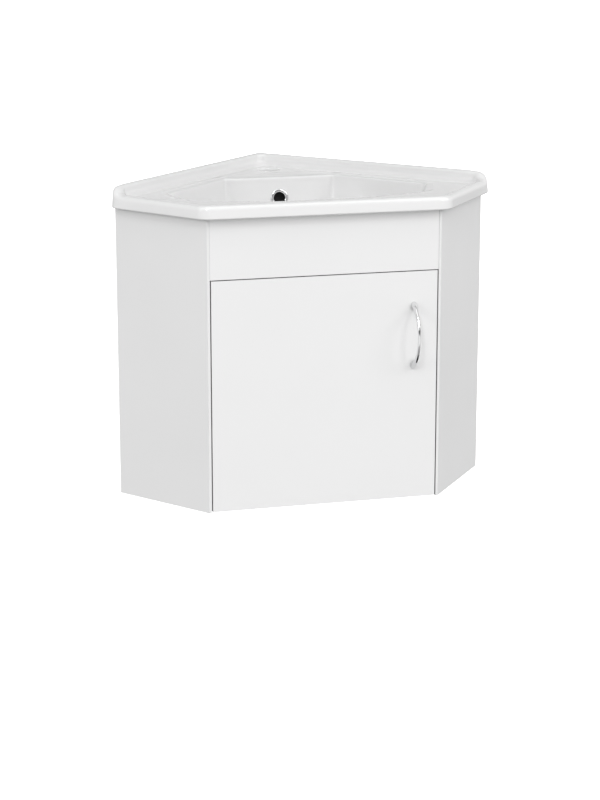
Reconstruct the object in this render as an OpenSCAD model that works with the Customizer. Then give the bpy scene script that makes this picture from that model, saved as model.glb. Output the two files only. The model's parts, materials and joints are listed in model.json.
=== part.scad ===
// Wall-hung corner vanity unit: a five-sided cabinet of 16 mm boards with one
// inset door, under a one-piece moulded basin with an upstand along both walls.
//
// Millimetres, +Z up. The origin is on the line where the two room walls meet,
// level with the underside of the cabinet. The walls run from there along
// (-1, -1) and (1, -1). The door faces -Y, and +X is on the right of a person
// who stands in front of it.

/* [Cabinet] */
// Length of the cabinet along each room wall
wall_run = 431; // [420:1:440]
// Width of the front, from corner to corner
front_w = 377; // [360:1:385]
// Distance from the room corner to the front
front_depth = 450; // [440:1:460]
// Height of the cabinet without the basin
cabinet_h = 470; // [440:1:520]
// Thickness of the cabinet boards, the door and the apron
board_t = 16; // [15:1:18]
// Width of the strip of the return panel's edge that shows beside the door
land_w = 4; // [3:0.2:5]
// Depth and height of the front rail behind the top of the door
rail_size = [16, 34]; // [10:1:50]
// Height of the rails that hang the cabinet on the walls
wall_rail_h = 90; // [60:5:120]
// Side of the square post in the room corner
post_side = 28; // [20:1:32]

/* [Door] */
// Height of the top of the door
door_top = 372; // [340:1:376]
// Gap at each side of the door
door_gap = 1.8; // [1.8:0.1:3.4]
// Gap between the top of the door and the apron
top_gap = 1.5; // [1:0.1:4]
// How far the bottom of the door stays above the bottom of the cabinet
door_lift = 1.5; // [1:0.5:4]
// Clear space between the back of the door and the boards behind it
setback = 6.5; // [6.5:0.5:8]
// Gap at each end of the apron
apron_gap = 0.2; // [0.2:0.1:2]

/* [Basin] */
// How far the basin overhangs the front and the return panels
overhang = [16, 16]; // [8:1:20]
// Height of the flat deck over the cabinet
deck_h = 15; // [12:1:20]
// Height of the top of the rounded rim over the cabinet
rim_h = 21.8; // [18:0.2:24]
// Height of the upstand over the cabinet
upstand_h = 35; // [30:1:45]
// Thickness of the upstand
upstand_t = 12; // [10:1:16]
// Radius of the cove between the upstand and the deck
cove_r = 11; // [8:1:12]
// Thickness of the bowl's wall
shell_t = 8; // [6:1:10]
// Depth of the bowl below the deck
bowl_depth = 130; // [110:5:140]
// Radius where the bowl's walls meet its floor
bowl_r = 26; // [15:1:28]
// Distance from the room corner to the centre of the tap hole
tap_y = 76; // [66:1:80]
// Diameter of the tap hole
tap_d = 35; // [32:1:36]
// Distance from the room corner to the centre of the waste hole
waste_y = 268; // [255:1:285]
// Diameter of the waste hole
waste_d = 46; // [42:1:48]
// Diameter of the overflow hole
overflow_d = 23; // [18:1:24]
// Height of the overflow hole's centre over the cabinet
overflow_h = -22; // [-26:1:-18]

/* [Handle] */
// Distance between the handle's screws
handle_pitch = 96; // [64:32:96]
// How far the handle stands out from the door
handle_out = 36; // [28:1:40]
// Distance of the handle from the middle of the door
handle_x = 144; // [120:1:160]
// Height of the handle's middle
handle_z = 268.6; // [180:0.2:300]

/* [Hinges] */
// Distance of the hinge pin from the door's edge, and from its front face
pin_at = [12.2, 6.2]; // [6:0.1:12.5]
// Diameter of the hinge pin
pin_d = 2.4; // [2:0.1:2.6]
// Clear gap round the hinge pin in the arm
pin_clear = 0.05; // [0.02:0.01:0.1]
// Diameter of the hinge cup
cup_d = 35; // [35:1:36]
// Depth of the hinge cup in the door
cup_depth = 13; // [12.7:0.1:13]
// Heights of the two hinges
hinge_z = [64, 306]; // [50:1:320]

/* [Hidden] */

$fn = 48;
white = "white";
steel = "silver";

// Directions, seen from above
left_wall = [-1, -1] / sqrt(2);
left_wall_in = [1, -1] / sqrt(2);
wall_end = left_wall * wall_run;
front_corner = [-front_w / 2, -front_depth];
along_return = unit(front_corner - wall_end);
return_in = [-along_return[1], along_return[0]];
back_along = -along_return;

// Places on the left return panel
land_x = front_corner[0] + land_w;
inner_line = wall_end + return_in * board_t;
mitre_end = meet([land_x, 0], [0, 1], inner_line, along_return);
inner_back = meet([0, 0], left_wall, inner_line, along_return);

// Places on the door. The hinge cup leaves `cup_edge` of board beside it.
cup_edge = 3;
door_left = land_x + door_gap;
door_w = -2 * door_left;
door_back = -front_depth + board_t;
carcass_front = door_back + setback;
pin_xy = [door_left + pin_at[0], -front_depth + pin_at[1]];
cup_x = door_left + cup_edge + cup_d / 2;

// ---- Points and outlines -------------------------------------------------

function unit(v) = v / norm(v);
function cross_z(a, b) = a[0] * b[1] - a[1] * b[0];
function blend(a, b, t) = a + (b - a) * t;
function ease(t) = let (c = min(1, max(0, t))) c * c * (3 - 2 * c);
function even(n) = [for (k = [1:1:n - 1]) k / n];
function reversed(points) = [for (k = [len(points) - 1:-1:0]) points[k]];
function flip(points) = [for (p = reversed(points)) [-p[0], p[1]]];

// Where the line through p along u crosses the line through q along v
function meet(p, u, q, v) = p + u * cross_z(q - p, v) / cross_z(u, v);

// The x of the left return panel's inner face, y back from the room corner
function inner_x(y) = meet([0, y], [1, 0], inner_line, along_return)[0];

// The arc of radius r that rounds the corner p, in n steps
function rounded(before, p, after, r, n) =
    let (a = unit(before - p),
         b = unit(after - p),
         half = acos(a * b) / 2,
         start = p + a * r / tan(half),
         centre = p + unit(a + b) * r / sin(half),
         spoke = start - centre,
         turn = (180 - 2 * half) * sign(cross_z(-a, b)))
    [for (k = [0:n])
        let (t = turn * k / n)
        centre + [spoke[0] * cos(t) - spoke[1] * sin(t), spoke[0] * sin(t) + spoke[1] * cos(t)]];

// The left half of a closed outline. It starts at height y `back` on the centre
// line, rounds each corner [point, radius, arc steps, places on the edge before
// it], and ends on the centre line at `front` with `last` places before it.
function half_outline(back, corners, front, last) =
    let (n = len(corners),
         stops = concat([[0, back]], [for (c = corners) c[0]], [[0, front]]),
         arcs = [for (k = [0:n - 1])
             rounded(stops[k], stops[k + 1], stops[k + 2], corners[k][1], corners[k][2])],
         runs = concat([[[0, back]]], arcs, [[[0, front]]]))
    [for (k = [0:n + 1])
        let (from = k > 0 ? runs[k - 1][len(runs[k - 1]) - 1] : [0, 0],
             places = k == 0 ? [] : k <= n ? corners[k - 1][3] : last)
        each concat([for (t = places) blend(from, runs[k][0], t)], runs[k])];

// Both halves of an outline, anticlockwise from the back
function whole(half) = concat(half, [for (k = [len(half) - 2:-1:1]) [-half[k][0], half[k][1]]]);

// An outline moved outwards by d, or inwards where d is negative
function grown(ring, d) =
    let (n = len(ring))
    [for (k = [0:n - 1])
        let (u = unit(ring[(k + 1) % n] - ring[(k + n - 1) % n]))
        ring[k] + [u[1], -u[0]] * d];

function lifted(ring, z) = [for (p = ring) [p[0], p[1], z]];

// A closed skin over rings of equal length, from the pole `top` to the pole
// `bottom`. Seen from outside, every triangle runs clockwise.
module skin(top, rings, bottom) {
    n = len(rings[0]);
    count = len(rings);
    points = concat([top], [for (ring = rings) each ring], [bottom]);
    last = len(points) - 1;
    faces = concat(
        [for (k = [0:n - 1]) [0, 1 + (k + 1) % n, 1 + k]],
        [for (j = [0:count - 2], k = [0:n - 1])
            let (a = 1 + j * n + k, b = 1 + j * n + (k + 1) % n)
            each [[a, b, b + n], [a, b + n, a + n]]],
        [for (k = [0:n - 1]) [last, 1 + (count - 1) * n + k, 1 + (count - 1) * n + (k + 1) % n]]);
    polyhedron(points = points, faces = faces, convexity = 8);
}

// ---- Cabinet -------------------------------------------------------------

// Both sides of the unit are alike: its right half mirrors the left one
module right_side() mirror([1, 0, 0]) children();

module board(outline, low, high) translate([0, 0, low]) linear_extrude(high - low) polygon(outline);

// Lays children out on the left return panel's inner face at height z: +X runs
// back along the panel from the end of its mitre, and +Z points into the cabinet
module on_return(z) translate([mitre_end[0], mitre_end[1], z])
    multmatrix([[back_along[0], 0, return_in[0], 0],
                [back_along[1], 0, return_in[1], 0],
                [0, -1, 0, 0],
                [0, 0, 0, 1]])
    children();

// The front end is cut parallel to the door's edge and leaves a narrow land
module return_panel() {
    outline = [wall_end, front_corner, [land_x, -front_depth], mitre_end, inner_back];
    difference() {
        board(outline, 0, cabinet_h);
        for (z = hinge_z) on_return(z) for (y = plate_screw_y) translate([plate_screw_x, y, -11])
            cylinder(d = 3, h = 12);
    }
}

module left_return_panel() color(white) return_panel();

module right_return_panel() color(white) right_side()
    board([wall_end, front_corner, [land_x, -front_depth], mitre_end, inner_back], 0, cabinet_h);

// Where a board with its front at y `front` ends on the left return panel
function beside(front) = front < mitre_end[1] ? [mitre_end, [land_x, front]] : [[inner_x(front), front]];

// Outline of what lies between the return panels, from the walls to y `front`
function between_returns(front) =
    let (half = concat([inner_back], beside(front)))
    concat([[0, 0]], half, flip(half));

module bottom_panel() color(white) board(between_returns(carcass_front), 0, board_t);

module corner_post() color("burlywood")
    translate([0, 0, board_t]) rotate(225) cube([post_side, post_side, cabinet_h - board_t]);

// Screw holes in the left wall rail: distance from the room corner
wall_screw_u = [90, 350];
wall_screw_z = cabinet_h - wall_rail_h / 2;
wall_screw_d = 6;

module wall_rail() difference() {
    far = meet(left_wall_in * board_t, left_wall, inner_line, along_return);
    near = left_wall * post_side;
    board([near, inner_back, far, near + left_wall_in * board_t], cabinet_h - wall_rail_h, cabinet_h);
    for (u = wall_screw_u) translate([left_wall[0] * u, left_wall[1] * u, wall_screw_z])
        rotate([90, 0, 45]) translate([0, 0, -1]) cylinder(d = wall_screw_d, h = board_t + 2);
}

module left_wall_rail() color(white) wall_rail();
module right_wall_rail() color(white) right_side() wall_rail();

// The front rail stands behind the top edge of the door and overlaps it
rail_lap = 18;
module front_rail() color(white) {
    back = carcass_front + rail_size[0];
    half = concat([[inner_x(back), back]], beside(carcass_front));
    board(concat(half, flip(half)), door_top - rail_lap, door_top - rail_lap + rail_size[1]);
}

apron_low = door_top + top_gap;
apron_half = -land_x - apron_gap;
block_low = apron_low + 18;
block_high = cabinet_h - 8;
block_x = [-150, -166];
block_back = -410;
block_screw_z = [block_low + 16, block_high - 16];

module apron_panel() color(white) difference() {
    board([[-apron_half, -front_depth], [apron_half, -front_depth],
           [apron_half, door_back], [-apron_half, door_back]], apron_low, cabinet_h);
    for (side = [-1, 1], z = block_screw_z) translate([side * block_x[1], door_back - 10, z])
        rotate([-90, 0, 0]) cylinder(d = 3, h = 11);
}

// A glue block ties each end of the apron to the return panel behind it
module apron_block() difference() {
    board([[block_x[0], door_back], [block_x[0], block_back], [inner_x(block_back), block_back],
           mitre_end, [door_left + 1, door_back]], block_low, block_high);
    for (z = block_screw_z) translate([block_x[1], door_back - 1, z])
        rotate([-90, 0, 0]) cylinder(d = 4, h = block_back - door_back + 2);
}

module left_apron_block() color("burlywood") apron_block();
module right_apron_block() color("burlywood") right_side() apron_block();

// A pan-head screw along +Z with its head's underside at z = 0 and its tip below
module screw(shank_d, length, head_d, head_h) {
    translate([0, 0, -length]) cylinder(d1 = shank_d * 0.4, d2 = shank_d, h = shank_d);
    translate([0, 0, shank_d - length]) cylinder(d = shank_d, h = length - shank_d);
    difference() {
        union() {
            cylinder(d = head_d, h = head_h * 0.4);
            translate([0, 0, head_h * 0.4]) cylinder(d1 = head_d, d2 = head_d * 0.6, h = head_h * 0.6);
        }
        for (turn = [0, 90]) rotate(turn)
            translate([-head_d * 0.25, -head_d * 0.05, head_h * 0.4])
                cube([head_d * 0.5, head_d * 0.1, head_h]);
    }
}

module apron_screws() color(steel)
    for (side = [-1, 1], z = block_screw_z) translate([side * block_x[1], block_back, z])
        rotate([-90, 0, 0]) screw(2.9, block_back - door_back + 9, 7, 2.4);

// ---- Basin ---------------------------------------------------------------

round_steps = 6;
cove_steps = 3;
fall_steps = round_steps / 2 + cove_steps;
deck_z = cabinet_h + deck_h;

// Section of the upstand: [distance from the wall, height] at step j of its
// rounded top, face and cove
function upstand_at(j) = j <= round_steps
    ? let (a = 180 * j / round_steps, r = upstand_t / 2)
        [r - r * cos(a), cabinet_h + upstand_h - r + r * sin(a)]
    : let (a = 90 * (j - round_steps) / cove_steps)
        [upstand_t + cove_r - cove_r * cos(a), deck_z + cove_r - cove_r * sin(a)];

// Section of the rim on the free edges: it rises from the outer face to a round
// top and falls to the deck behind it
rim_rise = [8, 9];
rim_foot = 28;
function rim_at(j) = j <= round_steps / 2
    ? let (a = 180 * j / round_steps)
        [rim_rise[0] * (1 - cos(a)), cabinet_h + rim_h - rim_rise[1] * (1 - sin(a))]
    : let (q = (j - round_steps / 2) / fall_steps)
        [blend(rim_rise[0], rim_foot, q), deck_z + (rim_h - deck_h) * (1 + cos(180 * q)) / 2];

// The basin's outline, `walls` in from the room walls and `edges` in from its
// free edges, with the room corner cut back by `cut` and the others rounded
function basin_outline(walls, edges, cut, side_r, turn_r) =
    let (wall_p = left_wall_in * walls,
         side_p = wall_end - return_in * (overhang[1] - edges),
         front_p = [0, -front_depth - overhang[0] + edges],
         apex = meet(wall_p, left_wall, [0, 0], [0, 1]),
         end = meet(wall_p, left_wall, side_p, along_return),
         front = meet(side_p, along_return, front_p, [1, 0]))
    whole(half_outline(apex[1] - cut, [
        [apex - [cut, cut], cut * 2, 3, []],
        [end, side_r, 6, even(6)],
        [front, turn_r, 5, [0.04, 0.08, 0.13, 0.2, 0.4, 0.6, 0.8]]], front_p[1], even(3)));

// 1 along the walls and 0 on the free edges. The upstand's end is a round nose:
// it falls along the wall, and from there to the rim along the side.
nose_run = 24;
nose_share = 0.6;
side_fall = 24;
corner_cut = 2.5;
end_r = 14;
front_r = 30;
outer = basin_outline(0, 0, corner_cut, end_r, front_r);
outer_end = meet([0, 0], left_wall, wall_end - return_in * overhang[1], along_return);
tallness = [for (p = outer)
    let (off = [-abs(p[0]), p[1]] - outer_end,
         far = 1 - min(1, max(0, off * return_in / nose_run)))
    (1 - nose_share + nose_share * sqrt(1 - far * far)) * (1 - ease(off * along_return / side_fall))];

// The end of the upstand leans towards the room corner by `end_lean` at its top
end_lean = 4;
lean_reach = 100;
leaning = [for (p = outer)
    (1 - ease(norm([-abs(p[0]), p[1]] - outer_end) / lean_reach)) * end_lean / upstand_h];

function edge_ring(low, high, cut, side_r, turn_r) =
    let (ring = basin_outline(low[0], high[0], cut, side_r, turn_r))
    [for (k = [0:len(ring) - 1])
        let (z = blend(high[1], low[1], tallness[k]),
             lean = leaning[k] * (z - cabinet_h) / sqrt(2))
        [ring[k][0] - sign(ring[k][0]) * lean, ring[k][1] + lean, z]];

// Rings over the edge, from the deck outwards and down to the underside
function over_edge() = [for (j = [round_steps + cove_steps:-1:0])
    let (wall = upstand_at(j), inset = wall[0])
    edge_ring(wall, rim_at(j), corner_cut + inset * 0.25, max(8, end_r - inset * 0.4),
        max(12, front_r - inset * 0.8))];

under_edge = [
    edge_ring([0, cabinet_h + 2], [0, cabinet_h + 2.5], corner_cut, end_r, front_r),
    edge_ring([0.6, cabinet_h + 0.6], [0.8, cabinet_h + 0.7], corner_cut + 0.1, end_r, front_r),
    edge_ring([2, cabinet_h], [3, cabinet_h], corner_cut + 0.5, end_r - 1, front_r - 2)];

// The bowl's edge on the deck, which bows out a little towards the tap
rim_outline = whole(half_outline(-124, [
    [[-40, -126], 120, 3, []],
    [[-99, -139], 22, 3, even(4)],
    [[-224, -280], 20, 5, even(6)],
    [[-200, -360], 40, 3, []],
    [[-96, -398], 300, 4, []]], -398, []));

// The top of the bowl's walls: the back wall is flat and faces the front
back_top = -150;
wall_top = whole(half_outline(back_top, [
    [[-93, back_top], 8, 5, even(6)],
    [[-215, -282], 18, 5, even(6)],
    [[-193, -350], 36, 3, []],
    [[-92, -386], 300, 4, []]], -386, []));

// The foot of the bowl's walls, before they curve into its floor
back_foot = -160;
wall_foot = whole(half_outline(back_foot, [
    [[-86, back_foot], 26, 5, even(6)],
    [[-191, -286], 32, 5, even(6)],
    [[-170, -336], 38, 3, []],
    [[-84, -370], 200, 4, []]], -370, []));

floor_z = deck_z - bowl_depth;
floor_fall = 5;
floor_steps = 3;
front_dip = 1.4;
wall_z = [floor_z + floor_fall + bowl_r, deck_z - 4];

// How much of the front's gentle slope is felt at a place y
function dip_at(y) = front_dip * ease((-y - 270) / 90);

// The bowl's wall at height z
function wall_at(z) = [for (k = [0:len(wall_top) - 1])
    blend(wall_foot[k], wall_top[k], (z - wall_z[0]) / (wall_z[1] - wall_z[0]))];

// A round flat at height z round the waste, with a point for each one of a ring
flat_r = 40;
function waste_flat(ring, z) = [for (p = ring)
    let (away = unit([p[0], p[1] + waste_y]) * flat_r) [away[0], away[1] - waste_y, z]];

// The lip over the bowl's walls: how far its turn reaches from the wall towards
// the deck's edge, and how far that turn and the edge stay below the deck
lip = [0.2, 1.9, 0.5];

bowl_rings = concat(
    [waste_flat(wall_foot, floor_z)],
    [for (k = [floor_steps:-1:0])
        let (a = 90 * k / floor_steps)
        lifted(grown(wall_foot, -bowl_r * (1 - cos(a))), wall_z[0] - bowl_r * sin(a))],
    [lifted(wall_at(wall_z[1] - 10), wall_z[1] - 10)],
    [[for (p = wall_top) [p[0], p[1], wall_z[1] - dip_at(p[1])]]],
    [[for (k = [0:len(wall_top) - 1]) let (p = blend(wall_top[k], rim_outline[k], lip[0]))
        [p[0], p[1], deck_z - lip[1] - dip_at(p[1])]]],
    [[for (p = rim_outline) [p[0], p[1], deck_z - lip[2] - dip_at(p[1])]]],
    [[for (p = grown(rim_outline, 4)) [p[0], p[1], deck_z - 0.7 * dip_at(p[1])]]]);

shell_rings = [
    lifted(grown(wall_top, shell_t + 3), cabinet_h),
    lifted(grown(wall_top, shell_t), cabinet_h - 5),
    lifted(grown(wall_foot, shell_t), wall_z[0]),
    lifted(grown(wall_foot, shell_t - bowl_r * 0.3), wall_z[0] - bowl_r * 0.71 - shell_t * 0.7),
    lifted(grown(wall_foot, -bowl_r), floor_z + floor_fall - shell_t),
    waste_flat(wall_foot, floor_z - shell_t)];

waste_low = floor_z - 30;
waste_boss_d = waste_d + 22;
waste_seat = [62, floor_z - 1];
overflow_z = cabinet_h + overflow_h;
wall_lean = atan((back_top - back_foot) / (wall_z[1] - wall_z[0]));

// Side view, as [y, z], of a line that stays `off` outside the bowl. It drops
// from height `top` behind the back wall and runs under the floor to the waste.
function behind_bowl(off, top) = concat(
    [[wall_at(top)[0][1] + off, top]],
    [for (a = [0:-22.5:-90])
        [back_foot - bowl_r + (bowl_r + off) * cos(a), wall_z[0] + (bowl_r + off) * sin(a)]],
    [[flat_r - waste_y, floor_z - off], [-waste_y, floor_z - off]]);

// A band between two such lines, `half` wide on each side of the centre
module band(half, near, far, top) translate([-half, 0, 0]) rotate([90, 0, 90])
    linear_extrude(2 * half) polygon(concat(behind_bowl(near, top), reversed(behind_bowl(far, top))));

// The overflow channel shares the bowl's wall: half its width, its depth, the
// thickness of its own wall and the height of its roof
channel_half = 17;
channel_depth = 8;
channel_t = 4;
channel_roof = cabinet_h - 2;

module channel_outside() band(channel_half + channel_t, 2, shell_t + channel_depth + channel_t,
    channel_roof + channel_t + 2);
module channel_inside() band(channel_half, shell_t, shell_t + channel_depth, channel_roof);

// Lays children out on the bowl's leaning back wall, with +Z out into the bowl
module on_back_wall() translate([0, wall_at(overflow_z)[0][1], overflow_z])
    rotate([90 - wall_lean, 0, 0]) children();

module basin() color(white) difference() {
    union() {
        skin([0, -waste_y, floor_z], concat(bowl_rings, over_edge(), under_edge, shell_rings),
            [0, -waste_y, floor_z - shell_t]);
        channel_outside();
        translate([0, -waste_y, waste_low]) cylinder(d = waste_boss_d, h = floor_z - 3 - waste_low);
    }
    channel_inside();
    translate([0, -tap_y, cabinet_h - 1]) cylinder(d = tap_d, h = deck_h + 2);
    translate([0, -tap_y, deck_z - 3.5]) cylinder(d1 = tap_d, d2 = tap_d + 8, h = 4);
    translate([0, -waste_y, waste_low - 1]) cylinder(d = waste_d, h = 60);
    translate([0, -waste_y, waste_seat[1]]) cylinder(d = waste_seat[0], h = 8);
    on_back_wall() translate([0, 0, -14]) cylinder(d = overflow_d, h = 30);
}

// A sleeve in the hole with a flange that has a raised round face
module overflow_ring() color(steel) on_back_wall() difference() {
    ring_d = overflow_d + 7.4;
    union() {
        translate([0, 0, -7]) cylinder(d = overflow_d - 0.6, h = 8);
        translate([0, 0, 0.1]) cylinder(d = ring_d, h = 0.9);
        translate([0, 0, 1]) cylinder(d1 = ring_d, d2 = ring_d - 4, h = 1.3);
    }
    translate([0, 0, -8]) cylinder(d = overflow_d - 3.8, h = 12);
}

// ---- Door ----------------------------------------------------------------

cup_screw_z = 24;
handle_screw_d = 4;

module door() color(white) difference() {
    translate([door_left, -front_depth, door_lift]) cube([door_w, board_t, door_top - door_lift]);
    for (z = hinge_z) translate([cup_x, door_back, z]) rotate([90, 0, 0]) {
        translate([0, 0, -1]) cylinder(d = cup_d + 0.1, h = cup_depth + 1.1);
        for (side = [-1, 1]) translate([0, side * cup_screw_z, -1]) cylinder(d = 3, h = 11);
    }
    for (side = [-1, 1]) translate([handle_x, door_back + 1, handle_z + side * handle_pitch / 2])
        rotate([90, 0, 0]) cylinder(d = handle_screw_d + 1, h = board_t + 2);
}

// Bumpers near the free corners of the door's back
buffer_d = 9;
buffer_tip = 1.3;
buffer_clear = 0.3;
module door_buffers() color("gainsboro")
    for (z = [door_lift + 7, door_top - 9]) translate([-door_left - 14, door_back, z])
        rotate([-90, 0, 0]) {
            low = setback - buffer_clear - buffer_tip;
            cylinder(d = buffer_d, h = low);
            translate([0, 0, low]) cylinder(d1 = buffer_d, d2 = buffer_d - 3, h = buffer_tip);
        }

// ---- Handle --------------------------------------------------------------

foot_z = handle_pitch / 2 + 1;
bow_rise = handle_out - 5;
bow_r = (foot_z * foot_z + bow_rise * bow_rise) / (2 * bow_rise);
bow_end = asin(foot_z / bow_r);
bow_steps = 24;
bow_sides = 16;
tapped_depth = 6;

// Width and depth of the bow's oval section, at t from -1 to 1
function bow_size(t) = let (w = pow(abs(t), 2.2)) [blend(4.4, 8.6, w), blend(5.6, 10.6, w)];

// A ring round the bow. The rings at both feet lie flat on the door.
function bow_ring(t) =
    let (a = t * bow_end,
         size = bow_size(t) / 2,
         out = bow_rise - bow_r * (1 - cos(a)))
    [for (k = [0:bow_sides - 1])
        let (b = -360 * k / bow_sides,
             y = out + size[1] * sin(b) * cos(a),
             z = bow_r * sin(a) + size[1] * sin(b) * sin(a),
             slide = abs(t) == 1 ? y / tan(a) : 0)
        [handle_x + size[0] * cos(b), -front_depth - (abs(t) == 1 ? 0 : y), handle_z + z + slide]];

module handle() color(steel) difference() {
    skin([handle_x, -front_depth, handle_z + foot_z],
        [for (k = [bow_steps:-1:-bow_steps]) bow_ring(k / bow_steps)],
        [handle_x, -front_depth, handle_z - foot_z]);
    for (side = [-1, 1]) translate([handle_x, -front_depth + 1, handle_z + side * handle_pitch / 2])
        rotate([90, 0, 0]) cylinder(d = handle_screw_d + 0.1, h = tapped_depth + 1);
}

module handle_screws() color(steel)
    for (side = [-1, 1]) translate([handle_x, door_back, handle_z + side * handle_pitch / 2])
        rotate([-90, 0, 0]) screw(handle_screw_d, board_t + tapped_depth - 0.5, 8, 2.4);

// ---- Hinges --------------------------------------------------------------

plate_screw_x = 34;
plate_screw_y = [-16, 16];
cup_wall = 0.6;
flange_t = 1.2;
ear_z = [7, 9.5];
ear_r = 2.5;
eye_r = 2.3;
eye_half = 6;
arm_t = 2.6;
// Seat on the plate, and the height of the arm over the panel
seat_h = 9;
plate_t = 3;
plate_x = [8, 60];

module at_pin(z) translate([pin_xy[0], pin_xy[1], z]) children();

// The cup sinks into the back of the door and holds both ends of the pin
module hinge_cup(z) difference() {
    union() {
        translate([cup_x, door_back, z]) rotate([90, 0, 0]) difference() {
            union() {
                cylinder(d = cup_d, h = cup_depth);
                translate([0, 0, -flange_t]) cylinder(d = cup_d + 3, h = flange_t);
                for (side = [-1, 1]) translate([0, side * cup_screw_z, -flange_t])
                    cylinder(d = 11, h = flange_t);
                translate([-5.5, -cup_screw_z, -flange_t]) cube([11, 2 * cup_screw_z, flange_t]);
            }
            translate([0, 0, -flange_t - 1])
                cylinder(d = cup_d - 2 * cup_wall, h = cup_depth + flange_t + 1 - cup_wall);
            for (side = [-1, 1]) translate([0, side * cup_screw_z, -flange_t - 1])
                cylinder(d = 3.8, h = flange_t + 2);
        }
        at_pin(z) for (side = [-1, 1]) mirror([0, 0, side < 0 ? 1 : 0]) {
            translate([0, 0, ear_z[0]]) cylinder(r = ear_r, h = ear_z[1] - ear_z[0]);
            translate([-ear_r, door_back - cup_depth + cup_wall / 2 - pin_xy[1], ear_z[0]])
                cube([2 * ear_r, pin_xy[1] - door_back + cup_depth - cup_wall / 2, ear_z[1] - ear_z[0]]);
        }
    }
    at_pin(z) translate([0, 0, -ear_z[1] - 1]) cylinder(d = pin_d, h = 2 * ear_z[1] + 2);
}

module hinge_pin(z) at_pin(z) translate([0, 0, -ear_z[1]]) cylinder(d = pin_d, h = 2 * ear_z[1]);

// A place on the panel's inner face, seen from the pin: x back along it, y off it
function off_panel(x, y) = mitre_end - pin_xy + back_along * x + return_in * y;

// The arm reaches out of the cup round the edge of the door and back to the plate
arm_out = 18;
arm_bend = 1.8;
arm_side = arm_out + arm_bend;
arm_path = [[0, -arm_t / 2], [arm_out, -arm_t / 2], [arm_side, arm_bend - arm_t / 2], [arm_side, 18],
    off_panel(plate_x[0] + 2, seat_h + arm_t), off_panel(plate_x[1] - 4, seat_h + arm_t),
    off_panel(plate_x[1] - 4, seat_h), off_panel(plate_x[0] + 2, seat_h),
    [arm_side - arm_t, 18 - arm_t * 0.7], [arm_side - arm_t, arm_t / 2], [0, arm_t / 2]];

module hinge_arm(z) difference() {
    at_pin(z) translate([0, 0, -eye_half]) {
        cylinder(r = eye_r, h = 2 * eye_half);
        linear_extrude(2 * eye_half) polygon(arm_path);
    }
    at_pin(z) translate([0, 0, -eye_half - 1]) cylinder(d = pin_d + 2 * pin_clear, h = 2 * eye_half + 2);
    on_return(z) translate([plate_screw_x, 0, seat_h - 1]) cylinder(d = 4.2, h = arm_t + 2);
}

// The plate is screwed to the return panel, with a raised seat for the arm
module hinge_plate(z) on_return(z) difference() {
    union() {
        translate([plate_x[0], -8, 0]) cube([plate_x[1] - plate_x[0], 16, plate_t]);
        translate([plate_screw_x, 0, 0]) for (side = [-1, 1])
            translate([0, side * 16, 0]) cylinder(d = 13, h = plate_t);
        translate([plate_screw_x - 6.5, -16, 0]) cube([13, 32, plate_t]);
        translate([plate_x[0] + 4, -6, plate_t - 1])
            cube([plate_x[1] - plate_x[0] - 8, 12, seat_h - plate_t + 1]);
    }
    for (y = plate_screw_y) translate([plate_screw_x, y, -1]) cylinder(d = 3.8, h = plate_t + 2);
    translate([plate_screw_x, 0, 1]) cylinder(d = 4, h = seat_h);
}

module lower_hinge_cup() color(steel) hinge_cup(hinge_z[0]);
module upper_hinge_cup() color(steel) hinge_cup(hinge_z[1]);
module lower_hinge_pin() color(steel) hinge_pin(hinge_z[0]);
module upper_hinge_pin() color(steel) hinge_pin(hinge_z[1]);
module lower_hinge_arm() color(steel) hinge_arm(hinge_z[0]);
module upper_hinge_arm() color(steel) hinge_arm(hinge_z[1]);
module lower_hinge_plate() color(steel) hinge_plate(hinge_z[0]);
module upper_hinge_plate() color(steel) hinge_plate(hinge_z[1]);

module cup_screws() color(steel) for (z = hinge_z, side = [-1, 1])
    translate([cup_x, door_back + flange_t, z + side * cup_screw_z]) rotate([-90, 0, 0])
        screw(2.9, 11, 6.5, 2);

module plate_screws() color(steel) for (z = hinge_z) on_return(z) {
    for (y = plate_screw_y) translate([plate_screw_x, y, plate_t]) screw(2.9, 13, 6.5, 2);
    translate([plate_screw_x, 0, seat_h + arm_t]) screw(3.9, 8, 7, 2);
}

left_return_panel();
right_return_panel();
bottom_panel();
corner_post();
left_wall_rail();
right_wall_rail();
front_rail();
apron_panel();
left_apron_block();
right_apron_block();
apron_screws();
basin();
overflow_ring();
door();
door_buffers();
handle();
handle_screws();
lower_hinge_cup();
upper_hinge_cup();
lower_hinge_pin();
upper_hinge_pin();
lower_hinge_arm();
upper_hinge_arm();
lower_hinge_plate();
upper_hinge_plate();
cup_screws();
plate_screws();
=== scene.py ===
"""The looks of a wall-hung white corner vanity unit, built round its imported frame.

Sizes are in millimetres, in the unit's own frame: the origin is where the two room
walls meet, level with the underside of the cabinet, +Z is up and the door faces -Y.
A mesh is scaled to metres when it becomes an object.
"""
import json
import logging
import math
from dataclasses import dataclass, field
from enum import Enum
from itertools import pairwise

import bmesh
import bpy
from mathutils import Matrix, Vector

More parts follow.
